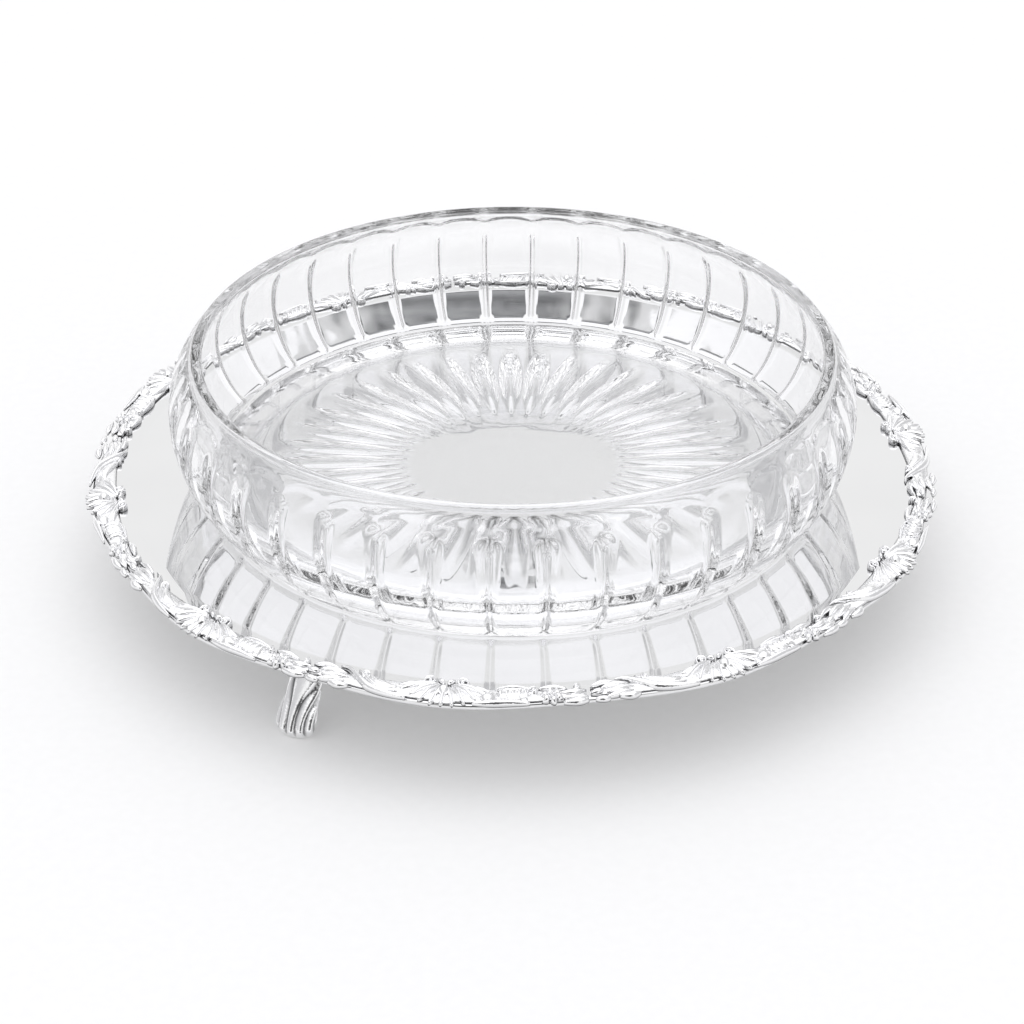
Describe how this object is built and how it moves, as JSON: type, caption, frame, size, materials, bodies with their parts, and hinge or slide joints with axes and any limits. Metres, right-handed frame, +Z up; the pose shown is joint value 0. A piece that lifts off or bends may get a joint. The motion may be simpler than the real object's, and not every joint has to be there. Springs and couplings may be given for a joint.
{
  "type": "chip and dip server",
  "caption": "Round footed silver-plated tray with a cast shell border, carrying a loose pressed-glass serving bowl with fluted panels.",
  "frame": {"origin": "centre of the circle through the feet, on the surface that the tray stands on (centre of the bounding box's bottom)", "axes": "+Z up, out of the bowl's mouth; -Y is the front, with one foot to the left of it"},
  "size_m": [0.3316, 0.332, 0.0928],
  "materials": {
    "silver_mirror": "mirror-polished silver plate",
    "silver_cast": "bright silver plate over cast metal",
    "bowl_glass": "clear fire-polished pressed glass"
  },
  "bodies": {
    "tray": {"tray_plate": "silver_mirror", "border_casting_01": "silver_cast", "border_casting_02": "silver_cast", "border_casting_03": "silver_cast", "border_casting_04": "silver_cast", "border_casting_05": "silver_cast", "border_casting_06": "silver_cast", "border_casting_07": "silver_cast", "border_casting_08": "silver_cast", "border_casting_09": "silver_cast", "border_casting_10": "silver_cast", "foot_1": "silver_cast", "foot_2": "silver_cast", "foot_3": "silver_cast"},
    "bowl": {"glass_bowl": "bowl_glass"}
  },
  "joints": [
    {"name": "bowl_lift", "type": "slide", "parent": "tray", "child": "bowl", "axis": [0, 0, 1], "range_m": [0, 0.08]}
  ]
}
